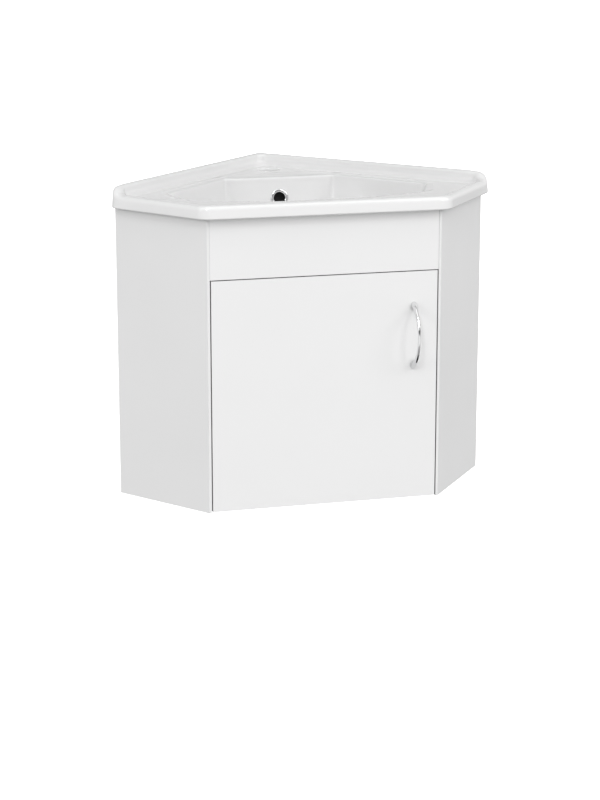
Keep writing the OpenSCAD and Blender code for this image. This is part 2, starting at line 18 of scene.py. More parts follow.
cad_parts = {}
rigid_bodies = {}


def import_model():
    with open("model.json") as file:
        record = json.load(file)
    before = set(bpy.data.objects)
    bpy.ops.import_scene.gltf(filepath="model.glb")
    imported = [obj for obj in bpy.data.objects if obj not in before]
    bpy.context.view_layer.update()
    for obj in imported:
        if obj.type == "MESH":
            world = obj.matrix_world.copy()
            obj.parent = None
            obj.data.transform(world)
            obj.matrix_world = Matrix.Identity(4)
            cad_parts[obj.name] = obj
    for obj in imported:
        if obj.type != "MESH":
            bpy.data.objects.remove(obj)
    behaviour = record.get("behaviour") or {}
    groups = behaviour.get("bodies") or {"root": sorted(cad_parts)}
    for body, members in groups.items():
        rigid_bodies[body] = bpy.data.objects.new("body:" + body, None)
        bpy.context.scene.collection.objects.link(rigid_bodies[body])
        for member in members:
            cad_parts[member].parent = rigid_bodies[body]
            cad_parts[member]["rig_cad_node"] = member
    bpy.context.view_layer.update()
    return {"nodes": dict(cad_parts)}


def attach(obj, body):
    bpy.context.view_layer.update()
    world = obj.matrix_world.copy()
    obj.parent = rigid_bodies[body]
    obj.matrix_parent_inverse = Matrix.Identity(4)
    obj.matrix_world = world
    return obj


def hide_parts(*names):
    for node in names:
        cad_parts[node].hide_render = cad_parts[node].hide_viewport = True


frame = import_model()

log = logging.getLogger("vanity")

MM = 0.001
# Steps round a turned piece
TURN_STEPS = 96
# The middle range of soft noise, where most of it lies
NOISE_SPAN = (0.3, 0.7)
# How far the shade painted beside a close surface reaches, and the share of open sky over which it fades
PAINTED_SHADE_REACH = 10
PAINTED_SHADE_SPAN = (0.5, 0.85)

Ring = list[Vector]
Mesh = bmesh.types.BMesh
Piece = bpy.types.Object
Socket = bpy.types.NodeSocket
Colour = tuple[float, float, float]


class Body(Enum):
    """The bodies of the frame that pieces ride on."""

    CABINET = "cabinet"
    DOOR = "door"


# ---- Points and outlines ---------------------------------------------------------


def blend(low: float, high: float, share: float) -> float:
    """The value at a share of the way from low to high."""
    return low + (high - low) * share


def ease(share: float) -> float:
    """A share from 0 to 1 with a soft start and a soft end."""
    held = min(1.0, max(0.0, share))
    return held * held * (3 - 2 * held)


def quarter(steps: int) -> list[float]:
    """The angles from 0 to a quarter turn, in equal steps."""
    return [math.pi / 2 * k / steps for k in range(steps + 1)]


def meet(p: Vector, u: Vector, q: Vector, v: Vector) -> Vector:
    """Where the line through p along u crosses the line through q along v."""
    return p + u * ((q - p).cross(v) / u.cross(v))


@dataclass(frozen=True)
class Corner:
    """One rounded corner of an outline.

    Attributes:
        place: Where the two edges would meet.
        radius: Radius of the arc between them.
        steps: Steps of the arc before it is refined.
        stops: Shares of the edge before the corner at which it has points.
    """

    place: tuple[float, float]
    radius: float
    steps: int
    stops: tuple[float, ...] = ()

    def arc(self, before: Vector, after: Vector, finer: int) -> Ring:
        """The points of the arc.

        Args:
            before: The point that the outline comes from.
            after: The point that it goes on to.
            finer: How many parts each step has.

        Returns:
            The points from one end of the arc to the other.
        """
        place = Vector(self.place)
        back, on = (before - place).normalized(), (after - place).normalized()
        half = back.angle(on) / 2
        start = place + back * (self.radius / math.tan(half))
        centre = place + (back + on).normalized() * (self.radius / math.sin(half))
        turn = math.copysign(math.pi - 2 * half, (-back).cross(on))
        count = self.steps * finer
        turns = (Matrix.Rotation(turn * k / count, 2) for k in range(count + 1))
        return [centre + rotation @ (start - centre) for rotation in turns]


def even(count: int) -> tuple[float, ...]:
    """The shares that cut an edge into count equal parts."""
    return tuple(k / count for k in range(1, count))


def between(start: Vector, end: Vector, stops: tuple[float, ...], finer: int) -> Ring:
    """Points on an edge, without its ends.

    Args:
        start: One end of the edge.
        end: The other end.
        stops: Shares of the edge at which it has points.
        finer: How many parts each stretch between two stops has.

    Returns:
        The points in order.
    """
    marks = pairwise((0.0, *stops, 1.0))
    shares = [blend(low, high, k / finer) for low, high in marks for k in range(finer)]
    return [start.lerp(end, share) for share in shares[1:]]


def closed_outline(back: float, corners: list[Corner], front: float, last: tuple[float, ...],
                   finer: int) -> Ring:
    """A closed outline that is alike on both sides of the centre line.

    Args:
        back: Where the outline crosses the centre line at the back.
        corners: The corners of the left half, from back to front.
        front: Where it crosses the centre line at the front.
        last: Stops on the edge that ends at the front.
        finer: How many parts each stretch of the outline has.

    Returns:
        The points, anticlockwise from the back.
    """
    turns = [Vector((0, back)), *(Vector(c.place) for c in corners), Vector((0, front))]
    half = [turns[0]]
    for number, corner in enumerate(corners):
        arc = corner.arc(turns[number], turns[number + 2], finer)
        half += between(half[-1], arc[0], corner.stops, finer) + arc
    half += between(half[-1], turns[-1], last, finer) + [turns[-1]]
    return half + [Vector((-p.x, p.y)) for p in half[-2:0:-1]]


def grown(ring: Ring, distance: float) -> Ring:
    """An outline moved outwards.

    Args:
        ring: The outline.
        distance: How far it moves. It moves inwards where this is negative.

    Returns:
        The moved outline.
    """
    moved = []
    for before, p, after in zip(ring[-1:] + ring[:-1], ring, ring[1:] + ring[:1]):
        along = (after - before).normalized()
        moved.append(p + Vector((along.y, -along.x)) * distance)
    return moved


def lifted(ring: Ring, height: float) -> Ring:
    """An outline laid at a height."""
    return [Vector((p.x, p.y, height)) for p in ring]


def mixed(low: Ring, high: Ring, share: float) -> Ring:
    """The ring at a share of the way from one ring to another."""
    return [a.lerp(b, share) for a, b in zip(low, high)]


def curve_point(p: list[Vector], share: float) -> Vector:
    """A point on the smooth curve through four points.

    Args:
        p: Four points. The curve runs from the second to the third.
        share: How far along it the point is, from 0 to 1.

    Returns:
        The point. Knots are spaced by the root of each distance, so the curve doesn't
        overshoot where a short stretch follows a long one.
    """
    knots = [0.0]
    for a, b in pairwise(p):
        knots.append(knots[-1] + max(math.sqrt((b - a).length), 1e-4))
    now = blend(knots[1], knots[2], share)

    def mix(a: Vector, b: Vector, low: float, high: float) -> Vector:
        """The mix of a, which is at knot low, and b, which is at knot high."""
        return a + (b - a) * ((now - low) / (high - low))

    once = [mix(p[k], p[k + 1], knots[k], knots[k + 1]) for k in range(3)]
    twice = [mix(once[k], once[k + 1], knots[k], knots[k + 2]) for k in range(2)]
    return mix(twice[0], twice[1], knots[1], knots[2])


def smoothed(rings: list[Ring], steps: int) -> list[Ring]:
    """Rings on the smooth surface through some rings.

    Args:
        rings: The rings that the surface goes through.
        steps: How many parts each stretch between two of them has.

    Returns:
        The rings in order, the given ones among them.
    """
    padded = [rings[0], *rings, rings[-1]]
    found = []
    for place in range(len(rings) - 1):
        four = padded[place:place + 4]
        for step in range(steps):
            found.append([curve_point(list(column), step / steps) for column in zip(*four)])
    return found + [rings[-1]]


def stepped(low: Ring, high: Ring, steps: int) -> list[Ring]:
    """Rings evenly between two rings, with neither of them."""
    return [mixed(low, high, k / steps) for k in range(1, steps)]


# ---- Meshes ----------------------------------------------------------------------


def add_walls(mesh: Mesh, low: list[bmesh.types.BMVert], high: list[bmesh.types.BMVert]) -> None:
    """Adds the faces between two closed rows of points.

    Args:
        mesh: The mesh that they are added to.
        low: One row.
        high: The other row, with as many points.
    """
    for k in range(len(low)):
        after = (k + 1) % len(low)
        mesh.faces.new((low[k], low[after], high[after], high[k]))


def skin(rings: list[Ring], tops: tuple[Vector, Vector]) -> Mesh:
    """A closed surface over rings of equal length.

    Args:
        rings: The rings, from the first pole to the second.
        tops: The points at the two ends that close it.

    Returns:
        The surface, in metres, with its faces turned outwards.
    """
    mesh = bmesh.new()
    rows = [[mesh.verts.new(p * MM) for p in ring] for ring in rings]
    for low, high in pairwise(rows):
        add_walls(mesh, low, high)
    for row, top in ((rows[0], tops[0]), (rows[-1], tops[1])):
        pole = mesh.verts.new(top * MM)
        for k in range(len(row)):
            mesh.faces.new((row[k], row[(k + 1) % len(row)], pole))
    bmesh.ops.recalc_face_normals(mesh, faces=mesh.faces)
    return mesh


def turned(profile: list[tuple[float, float]], steps: int = TURN_STEPS) -> Mesh:
    """A closed profile turned round the Z axis.

    Args:
        profile: Points (radius, height). A profile that starts and ends on the
            axis makes a solid, and any other one makes a ring.
        steps: Steps round the axis.

    Returns:
        The surface, in metres.
    """
    mesh = bmesh.new()
    rows = []
    for radius, height in profile:
        count = steps if radius > 0 else 1
        turns = [Matrix.Rotation(2 * math.pi * k / steps, 3, "Z") for k in range(count)]
        rows.append([mesh.verts.new(turn @ Vector((radius, 0, height)) * MM) for turn in turns])
    is_ring = profile[0][0] > 0
    for low, high in pairwise(rows + rows[:1] if is_ring else rows):
        for k in range(steps):
            corners = ((low, k), (low, k + 1), (high, k + 1), (high, k))
            loop = [row[place % len(row)] for row, place in corners]
            mesh.faces.new(list(dict.fromkeys(loop)))
    bmesh.ops.recalc_face_normals(mesh, faces=mesh.faces)
    return mesh


def prism(side: Ring, run: Vector) -> Mesh:
    """A flat outline drawn out along a straight run.

    Args:
        side: The outline.
        run: The way that it is drawn out.

    Returns:
        The solid, in metres.
    """
    mesh = bmesh.new()
    near = [mesh.verts.new(p * MM) for p in side]
    far = [mesh.verts.new((p + run) * MM) for p in side]
    mesh.faces.new(near)
    mesh.faces.new(far[::-1])
    add_walls(mesh, near, far)
    bmesh.ops.recalc_face_normals(mesh, faces=mesh.faces)
    return mesh


def as_object(name: str, mesh: Mesh) -> Piece:
    """A new object in the scene that holds a mesh.

    Args:
        name: Its name.
        mesh: The mesh. It is used up.

    Returns:
        The object.
    """
    data = bpy.data.meshes.new(name)
    mesh.to_mesh(data)
    mesh.free()
    made = bpy.data.objects.new(name, data)
    bpy.context.scene.collection.objects.link(made)
    return made


def settle(made: Piece) -> None:
    """Turns what an object's modifiers make into its own mesh.

    Args:
        made: The object.
    """
    graph = bpy.context.evaluated_depsgraph_get()
    old = made.data
    made.data = bpy.data.meshes.new_from_object(made.evaluated_get(graph))
    made.modifiers.clear()
    bpy.data.meshes.remove(old)


class Cut(Enum):
    """How a tool mesh changes a body mesh."""

    ADD = "UNION"
    TAKE = "DIFFERENCE"


def carve(body: Piece, tool: Mesh, cut: Cut) -> None:
    """Adds a closed mesh to a piece, or takes it away from the piece.

    Args:
        body: The piece.
        tool: The closed mesh. It is used up.
        cut: Whether it is added or taken away.
    """
    other = as_object("carving_tool", tool)
    change = body.modifiers.new("carve", "BOOLEAN")
    change.object = other
    change.operation = cut.value
    change.solver = "EXACT"
    settle(body)
    bpy.data.objects.remove(other)


def shade_round(made: Piece, sharp_angle: float) -> None:
    """Shades a piece smoothly, with its flats kept flat.

    Args:
        made: The piece.
        sharp_angle: Edges that turn by more degrees than this stay sharp.
    """
    made.data.shade_smooth()
    made.data.set_sharp_from_angle(angle=math.radians(sharp_angle))
    weights = made.modifiers.new("flat_faces_lead", "WEIGHTED_NORMAL")
    weights.keep_sharp = True
    weights.weight = 80


def eased_copy(name: str, node: str, width: float) -> Piece:
    """A copy of a CAD solid whose sharp edges are eased, as a real piece's are.

    Args:
        name: The name of the copy.
        node: The CAD node.
        width: How far the easing reaches from each edge.

    Returns:
        The copy. It stays inside the solid.
    """
    mesh = bmesh.new()
    mesh.from_mesh(frame["nodes"][node].data)
    bmesh.ops.remove_doubles(mesh, verts=mesh.verts, dist=1e-6)
    bmesh.ops.dissolve_limit(mesh, angle_limit=math.radians(0.5), verts=mesh.verts, edges=mesh.edges)
    crease = math.radians(40)
    sharp = [e for e in mesh.edges if len(e.link_faces) == 2 and e.calc_face_angle() > crease]
    bmesh.ops.bevel(mesh, geom=sharp, offset=width * MM, segments=2, profile=0.5,
                    affect="EDGES", clamp_overlap=True)
    made = as_object(name, mesh)
    shade_round(made, 50)
    return made


# ---- Finishes --------------------------------------------------------------------


class Wiring:
    """A node tree, with short calls that add to it."""

    def __init__(self, tree: bpy.types.NodeTree) -> None:
        """Takes the tree that it adds to."""
        self.tree = tree

    def first(self, kind: str) -> bpy.types.Node:
        """The node of that type that the tree starts with."""
        return next(n for n in self.tree.nodes if n.type == kind)

    def add(self, kind: str, **values: float | Colour) -> bpy.types.Node:
        """Adds a node.

        Args:
            kind: Blender's name of the node.
            **values: Values of its inputs, with _ for each space in a name.

        Returns:
            The node.
        """
        node = self.tree.nodes.new(kind)
        for name, value in values.items():
            node.inputs[name.replace("_", " ")].default_value = value
        return node

    def join(self, source: Socket, target: Socket) -> None:
        """Joins an output to an input."""
        self.tree.links.new(source, target)

    def mapped(self, source: Socket, span: tuple[float, float], low: float = 0.0,
               high: float = 1.0) -> Socket:
        """A value whose span is mapped onto a range.

        Args:
            source: The value.
            span: The two ends of its span.
            low: What the first end becomes.
            high: What the other end becomes.

        Returns:
            The mapped value's output.
        """
        node = self.add("ShaderNodeMapRange", From_Min=span[0], From_Max=span[1], To_Min=low, To_Max=high)
        self.join(source, node.inputs["Value"])
        return node.outputs["Result"]

    def ramp(self, source: Socket, marks: list[tuple[float, Colour]]) -> Socket:
        """A value mapped onto colours.

        Args:
            source: The value, from 0 to 1.
            marks: The colours and the values that they are at, lowest first.

        Returns:
            The colour's output.
        """
        node = self.add("ShaderNodeValToRGB")
        known = node.color_ramp.elements
        for number, (place, colour) in enumerate(marks):
            mark = known[number] if number < len(known) else known.new(place)
            mark.position, mark.color = place, (*colour, 1)
        self.join(source, node.inputs["Fac"])
        return node.outputs["Color"]


class Bench(Wiring):
    """The node tree of one new material."""

    def __init__(self, name: str) -> None:
        """Starts a material with a principled shader and the piece's own coordinates.

        Args:
            name: The material's name.
        """
        self.material = bpy.data.materials.new(name)
        self.material.use_nodes = True
        super().__init__(self.material.node_tree)
        self.shader = self.first("BSDF_PRINCIPLED")
        self.place = self.add("ShaderNodeTexCoord").outputs["Object"]

    def hold(self, **values: float | Colour) -> None:
        """Sets inputs of the shader that are the same all over the surface."""
        for name, value in values.items():
            self.shader.inputs[name.replace("_", " ")].default_value = value

    def feed(self, source: Socket, name: str) -> None:
        """Joins an output to the shader's input of that name."""
        self.join(source, self.shader.inputs[name])

    def grain(self, scale: float, detail: float = 2.0, stretch: Colour = (1, 1, 1)) -> Socket:
        """Soft noise from 0 to 1.

        Args:
            scale: Spots to a metre.
            detail: How many finer layers it has.
            stretch: How much denser it is along each axis.

        Returns:
            The noise's output.
        """
        mapping = self.add("ShaderNodeMapping", Scale=stretch)
        self.join(self.place, mapping.inputs["Vector"])
        noise = self.add("ShaderNodeTexNoise", Scale=scale, Detail=detail)
        self.join(mapping.outputs["Vector"], noise.inputs["Vector"])
        return noise.outputs["Fac"]

    def spread(self, source: Socket, low: float, high: float) -> Socket:
        """Noise mapped onto a range of values."""
        return self.mapped(source, NOISE_SPAN, low, high)

    def tint(self, source: Socket, low: Colour, high: Colour) -> Socket:
        """Noise mapped onto a range of colours."""
        return self.ramp(source, list(zip(NOISE_SPAN, (low, high))))

    def relief(self, source: Socket, depth: float, strength: float = 1.0,
               over: Socket | None = None) -> Socket:
        """A bumpy normal.

        Args:
            source: The height, from 0 to 1.
            depth: What a height of 1 stands for, in millimetres.
            strength: How much of it shows.
            over: A bumpy normal that this one lies over.

        Returns:
            The normal's output.
        """
        node = self.add("ShaderNodeBump", Strength=strength, Distance=depth * MM)
        self.join(source, node.inputs["Height"])
        if over is not None:
            self.join(over, node.inputs["Normal"])
        return node.outputs["Normal"]

    def painted_contact_shade(self, share_left: float) -> None:
        """Paints shade into the colour right beside another surface, where real shade would fall.

        Args:
            share_left: The share of the colour that is left where the two meet.
        """
        # Painted shade: the base colour is darkened where ambient occlusion finds another surface close by
        near = self.add("ShaderNodeAmbientOcclusion", Distance=PAINTED_SHADE_REACH * MM)
        shade = self.add("ShaderNodeVectorMath")
        shade.operation = "SCALE"
        self.join(self.shader.inputs["Base Color"].links[0].from_socket, shade.inputs[0])
        self.join(self.mapped(near.outputs["AO"], PAINTED_SHADE_SPAN, share_left), shade.inputs["Scale"])
        self.feed(shade.outputs["Vector"], "Base Color")


@dataclass(frozen=True)
class Finish:
    """A surface finish.

    Attributes:
        slot: The material slot of the record that it belongs to.
        shades: The two ends of its slight variation in colour.
        roughness: The two ends of its variation in roughness.
        look: What tells it apart from other finishes of the same slot.
        cloud: Clouds of that variation to a metre.
    """

    slot: str
    shades: tuple[Colour, Colour]
    roughness: tuple[float, float]
    look: str = field(default="finish", kw_only=True)
    cloud: float = field(default=7, kw_only=True)

    def material(self) -> bpy.types.Material:
        """The finish as a material.

        Returns:
            The material, which is made once for all pieces.
        """
        name = f"{self.slot}_{self.look}"
        known = bpy.data.materials.get(name)
        if known:
            return known
        bench = Bench(name)
        self.work(bench)
        return bench.material

    def work(self, bench: Bench) -> None:
        """Builds the nodes of the finish.

        Args:
            bench: The node tree of the new material.
        """
        clouds = bench.grain(self.cloud)
        bench.feed(bench.tint(clouds, *self.shades), "Base Color")
        bench.feed(bench.spread(clouds, *self.roughness), "Roughness")

    def dress(self, piece: Piece) -> None:
        """Gives a piece this finish alone.

        Args:
            piece: The piece, whose materials are replaced by this finish's material.
        """
        piece.data.materials.clear()
        piece.data.materials.append(self.material())


@dataclass(frozen=True)
class SprayedLacquer(Finish):
    """Satin lacquer, with the faint orange peel of a sprayed coat.

    Attributes:
        peel: Bumps to a metre.
        peel_depth: Their height.
        painted_contact_shade: Share of the colour that is left right beside another surface, where shade is
            painted in.
    """

    peel: float = 420
    peel_depth: float = 0.012
    painted_contact_shade: float = 0.6

    def work(self, bench: Bench) -> None:
        """Adds the contact shade and the orange peel.

        Args:
            bench: The node tree of the new material.
        """
        super().work(bench)
        bench.painted_contact_shade(self.painted_contact_shade)
        bench.feed(bench.relief(bench.grain(self.peel, 1), self.peel_depth), "Normal")
        bench.hold(IOR=1.5)


@dataclass(frozen=True)
class Melamine(Finish):
    """White melamine board, with a fine pearl texture.

    Attributes:
        pearl: Grains to a metre.
        pearl_depth: Their height.
        painted_contact_shade: Share of the colour that is left right beside another surface, where shade is
            painted in.
    """

    pearl: float = 1300
    pearl_depth: float = 0.02
    painted_contact_shade: float = 0.45

    def work(self, bench: Bench) -> None:
        """Adds the contact shade and the pearl texture.

        Args:
            Adds the painted shade beside other surfaces and the pearl texture.
        """
        super().work(bench)
        bench.painted_contact_shade(self.painted_contact_shade)
        bench.feed(bench.relief(bench.grain(self.pearl, 3), self.pearl_depth), "Normal")
        bench.hold(IOR=1.5)


@dataclass(frozen=True)
class Glaze(Finish):
    """A deep gloss, which flows a little and has the faintest pinholes.

    Attributes:
        flow: Waves to a metre.
        flow_depth: Their height.
        pinholes: Pinholes to a metre.
        pinhole_depth: Their depth.
    """

    flow: float = 22
    flow_depth: float = 0.05
    pinholes: float = 900
    pinhole_depth: float = 0.002

    def work(self, bench: Bench) -> None:
        """Adds the waves, the pinholes and a clear top coat.

        Args:
            bench: The node tree of the new material.
        """
        super().work(bench)
        waves = bench.relief(bench.grain(self.flow, 1), self.flow_depth)
        bench.feed(bench.relief(bench.grain(self.pinholes, 1), self.pinhole_depth, over=waves), "Normal")
        bench.hold(IOR=1.52, Coat_Weight=0.4, Coat_Roughness=0.03)


@dataclass(frozen=True)
class Plating(Finish):
    """Polished or pressed metal.

    Attributes:
        lines: Marks to a metre.
        line_depth: Their height.
        stretch: How much denser the marks are along each axis.
    """

    lines: float = 300
    line_depth: float = 0.001
    stretch: Colour = (1, 1, 1)

    def work(self, bench: Bench) -> None:
        """Adds the metal and its marks.

        Args:
            bench: The node tree of the new material.
        """
        super().work(bench)
        bench.feed(bench.relief(bench.grain(self.lines, 2, self.stretch), self.line_depth), "Normal")
        bench.hold(Metallic=1.0)


@dataclass(frozen=True)
class BareSoftwood(Finish):
    """Planed softwood, with growth rings that run along the piece.

    Attributes:
        ring_scale: Growth rings to a metre.
        ring_stretch: How much denser they are along each axis.
        fibre: Fibres to a metre.
        fibre_stretch: How much denser they are along each axis.
        fibre_depth: Their height.
    """

    ring_scale: float = 60
    ring_stretch: Colour = (1, 1, 0.08)
    fibre: float = 500
    fibre_stretch: Colour = (1, 1, 0.06)
    fibre_depth: float = 0.05

    def work(self, bench: Bench) -> None:
        """Adds the growth rings and the planed grain.

        Args:
            bench: The node tree of the new material.
        """
        mapping = bench.add("ShaderNodeMapping", Scale=self.ring_stretch)
        bench.join(bench.place, mapping.inputs["Vector"])
        rings = bench.add("ShaderNodeTexWave", Scale=self.ring_scale, Distortion=6, Detail=3)
        bench.join(mapping.outputs["Vector"], rings.inputs["Vector"])
        bench.feed(bench.tint(rings.outputs["Fac"], *self.shades), "Base Color")
        fibre = bench.grain(self.fibre, 3, self.fibre_stretch)
        bench.feed(bench.spread(fibre, *self.roughness), "Roughness")
        bench.feed(bench.relief(fibre, self.fibre_depth), "Normal")


@dataclass(frozen=True)
class SoftPlastic(Finish):
    """Milky soft plastic that lets some light through."""

    def work(self, bench: Bench) -> None:
        """Adds the light that goes through."""
        super().work(bench)
        bench.hold(Transmission_Weight=0.35, IOR=1.46)


def grey(low: float, high: float, warmth: float = 0.0) -> tuple[Colour, Colour]:
    """Two near greys, red up and blue down by the warmth."""
    return tuple((tone + warmth, tone, tone - warmth) for tone in (low, high))


LACQUER = SprayedLacquer("white_lacquer", grey(0.873, 0.885), (0.34, 0.42))
BOARD = Melamine("white_board", grey(0.852, 0.868), (0.44, 0.52))
GLAZE = Glaze("white_glaze", grey(0.866, 0.876), (0.08, 0.12))
# Painted shade: near black glaze for the inside of the overflow channel, which is white glaze too but lies
# in shade
PAINTED_CHANNEL_SHADE = Finish("white_glaze", grey(0.012, 0.02), (0.6, 0.7), look="painted_shade_inside")
CHROME = Plating("bright_chrome", grey(0.78, 0.81, -0.004), (0.03, 0.06))
NICKEL = Plating("nickel_steel", grey(0.52, 0.58, 0.012), (0.24, 0.34), 900, 0.01, (1, 1, 0.1))
ZINC = Plating("zinc_steel", grey(0.50, 0.60, -0.006), (0.30, 0.42), 700, 0.01)
SOFTWOOD = BareSoftwood("bare_wood", ((0.50, 0.33, 0.17), (0.68, 0.50, 0.31)), (0.55, 0.7))
BUMPER = SoftPlastic("clear_bumper", grey(0.72, 0.76), (0.25, 0.32))


def seat(piece: Piece, finish: Finish, body: Body, *nodes: str) -> None:
    """Finishes a piece, lets it ride on its body and hides the nodes it stands for.

    Args:
        piece: The new piece.
        finish: Its finish.
        body: The body that it moves with.
        *nodes: The CAD nodes that it replaces.
    """
    finish.dress(piece)
    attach(piece, body.value)
    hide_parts(*nodes)
    log.info("%s rides on %s and stands for %s", piece.name, body.value, ", ".join(nodes))


def ease_nodes(nodes: tuple[str, ...], finish: Finish, body: Body, width: float) -> None:
    """Replaces each CAD node with a copy that has eased edges.

    Args:
        nodes: The CAD nodes.
        finish: The finish of all of them.
        body: The body that they move with.
        width: How far the easing reaches from each edge.
    """
    for node in nodes:
        seat(eased_copy(f"{node}_piece", node, width), finish, body, node)


def dress_nodes(nodes: tuple[str, ...], finish: Finish) -> None:
    """Gives CAD nodes that show as they are a finish.

    Args:
        nodes: The CAD nodes.
        finish: The finish of all of them.
    """
    for node in nodes:
        finish.dress(frame["nodes"][node])
        log.info("%s shows its own solid", node)


# ---- Cabinet ---------------------------------------------------------------------


@dataclass
class Cabinet:
    """The boards, blocks and screws of the cabinet.

    Attributes:
        board_edge: Easing of the edges of a board.
        block_edge: Easing of the edges of a wooden block.
        boards: The nodes of melamine board.
        blocks: The nodes of softwood.
    """

    board_edge: float = 0.7
    block_edge: float = 1.0
    boards: tuple[str, ...] = ("left_return_panel", "right_return_panel", "bottom_panel",
                               "left_wall_rail", "right_wall_rail", "front_rail")
    blocks: tuple[str, ...] = ("corner_post", "left_apron_block", "right_apron_block")

    def build(self) -> None:
        """Builds and dresses every piece of the cabinet."""
        ease_nodes(self.boards, BOARD, Body.CABINET, self.board_edge)
        ease_nodes(("apron_panel",), LACQUER, Body.CABINET, self.board_edge)
        ease_nodes(self.blocks, SOFTWOOD, Body.CABINET, self.block_edge)
        dress_nodes(("apron_screws",), ZINC)


# ---- Basin -----------------------------------------------------------------------


@dataclass
class Basin:
    """The moulded basin and the ring in its overflow, from the cabinet's sizes.

    Attributes:
        finer: How many parts each stretch of a CAD outline has here.
        wall_run: Length of the cabinet along each room wall.
        front_w: Width of the cabinet's front.
        front_depth: Distance from the room corner to the cabinet's front.
        cabinet_h: Height of the cabinet.
        overhang: How far the basin overhangs the cabinet.
        deck_h: Height of the deck over the cabinet.
        deck_steps: Parts of the deck from the bowl's edge outwards.
        round_steps: Steps over the rounded top of the upstand, twice those of the rim's.
        cove_steps: Steps of the cove at its foot.
        rim_h: Height of the rim over the cabinet.
        rim_run: How far in from the edge it is highest.
        rim_rise: Height of its rounded outer face.
        rim_foot: How far in from the edge its inner slope ends.
        upstand_h: Height of the upstand over the cabinet.
        upstand_t: Thickness of the upstand.
        cove_r: Radius of the cove at its foot.
        nose_run: Length of the rounded end of the upstand.
        nose_share: Share of its height that is rounded there.
        side_fall: Length of its fall to the rim, round the corner.
        end_lean: How far the top of its end leans towards the room corner.
        lean_reach: How far from its end the lean reaches.
        under_r: Radius under the outer face.
        corner_cut: How far the room corner of the outline is cut back.
        end_r: Radius of the outline's corners at the ends of the walls.
        front_r: Radius of its front corners.
        least_r: The least that these two radii come down to.
        over_gain: What the cut and the two radii gain for each millimetre that the
            outline lies further in, over the edge.
        under_gain: The same under the edge.
        side_stops: Stops on the free edges beside the door, close where the upstand ends.
        shell_t: Thickness of the bowl's wall.
        bowl_depth: Depth of the bowl below the deck.
        bowl_r: Radius at the foot of the bowl's walls.
        floor_fall: How much the bowl's floor falls to the waste.
        edge_drop: How far below the deck the straight part of the walls ends.
        back_top: Where the back wall is at its top.
        back_foot: Where it is at its foot.
        front_dip: How much lower the deck is in front of the bowl.
        dip_start: Distance from the room corner at which the dip starts.
        dip_run: Length over which it deepens.
        tap_y: Distance of the tap hole from the room corner.
        tap_d: Diameter of the tap hole.
        tap_lip: Radius of its rounded edge.
        waste_y: Distance of the waste hole from the room corner.
        waste_d: Diameter of the waste hole.
        waste_seat_d: Diameter of the seat round it.
        seat_depth: Depth of the seat.
        flat_r: Radius of the flat round the seat.
        boss_t: Thickness of the boss round the hole.
        boss_h: How far the boss reaches below the bowl's floor.
        overflow_d: Diameter of the overflow hole.
        overflow_h: Height of its middle over the cabinet.
        channel_half: Half the width of the overflow channel.
        channel_depth: Depth of the channel.
        channel_t: Thickness of its own wall.
        channel_drop: How far its roof is below the top of the cabinet.
    """

    finer: int = 4
    wall_run: float = 431
    front_w: float = 377
    front_depth: float = 450
    cabinet_h: float = 470
    overhang: float = 16
    deck_h: float = 15
    deck_steps: int = 8
    round_steps: int = 6
    cove_steps: int = 3
    rim_h: float = 21.8
    rim_run: float = 8
    rim_rise: float = 9
    rim_foot: float = 28
    upstand_h: float = 35
    upstand_t: float = 12
    cove_r: float = 11
    nose_run: float = 24
    nose_share: float = 0.6
    side_fall: float = 24
    end_lean: float = 4
    lean_reach: float = 100
    under_r: float = 2.5
    corner_cut: float = 2.5
    end_r: float = 14
    front_r: float = 30
    least_r: tuple[float, float] = (8, 12)
    over_gain: tuple[float, float, float] = (0.25, -0.4, -0.8)
    under_gain: tuple[float, float, float] = (0.2, -0.4, -1)
    side_stops: tuple[float, ...] = (0.04, 0.08, 0.13, 0.2, 0.4, 0.6, 0.8)
    shell_t: float = 8
    bowl_depth: float = 130
    bowl_r: float = 26
    floor_fall: float = 5
    edge_drop: float = 4
    back_top: float = -150
    back_foot: float = -160
    front_dip: float = 1.4
    dip_start: float = 270
    dip_run: float = 90
    tap_y: float = 76
    tap_d: float = 35
    tap_lip: float = 3.5
    waste_y: float = 268
    waste_d: float = 46
    waste_seat_d: float = 62
    seat_depth: float = 1
    flat_r: float = 40
    boss_t: float = 11
    boss_h: float = 30
    overflow_d: float = 23
    overflow_h: float = -22
    channel_half: float = 17
    channel_depth: float = 8
    channel_t: float = 4
    channel_drop: float = 2

    def __post_init__(self) -> None:
        """Works out the places that the driving sizes give."""
        root_half = math.sqrt(0.5)
        self.wall = Vector((-root_half, -root_half))
        self.wall_in = Vector((root_half, -root_half))
        self.wall_end = self.wall * self.wall_run
        self.side = (Vector((-self.front_w / 2, -self.front_depth)) - self.wall_end).normalized()
        self.side_in = Vector((-self.side.y, self.side.x))
        self.deck_z = self.cabinet_h + self.deck_h
        self.floor_z = self.deck_z - self.bowl_depth
        self.waste = Vector((0, -self.waste_y))
        self.channel_roof = self.cabinet_h - self.channel_drop
        self.wall_low = self.floor_z + self.floor_fall + self.bowl_r
        self.wall_high = self.deck_z - self.edge_drop
        self.rim_outline = self.outline(-124, [
            Corner((-40, -126), 120, 2), Corner((-97, -141), 20, 5, even(3)),
            Corner((-224, -280), 20, 5, even(6)), Corner((-200, -360), 40, 3),
            Corner((-96, -398), 300, 4)], -398)
        self.wall_top = self.outline(self.back_top, [
            Corner((-93, self.back_top), 8, 5, even(6)), Corner((-215, -282), 18, 5, even(6)),
            Corner((-193, -350), 36, 3), Corner((-92, -386), 300, 4)], -386)
        self.wall_foot = self.outline(self.back_foot, [
            Corner((-86, self.back_foot), 26, 5, even(6)), Corner((-191, -286), 32, 5, even(6)),
            Corner((-170, -336), 38, 3), Corner((-84, -370), 200, 4)], -370)

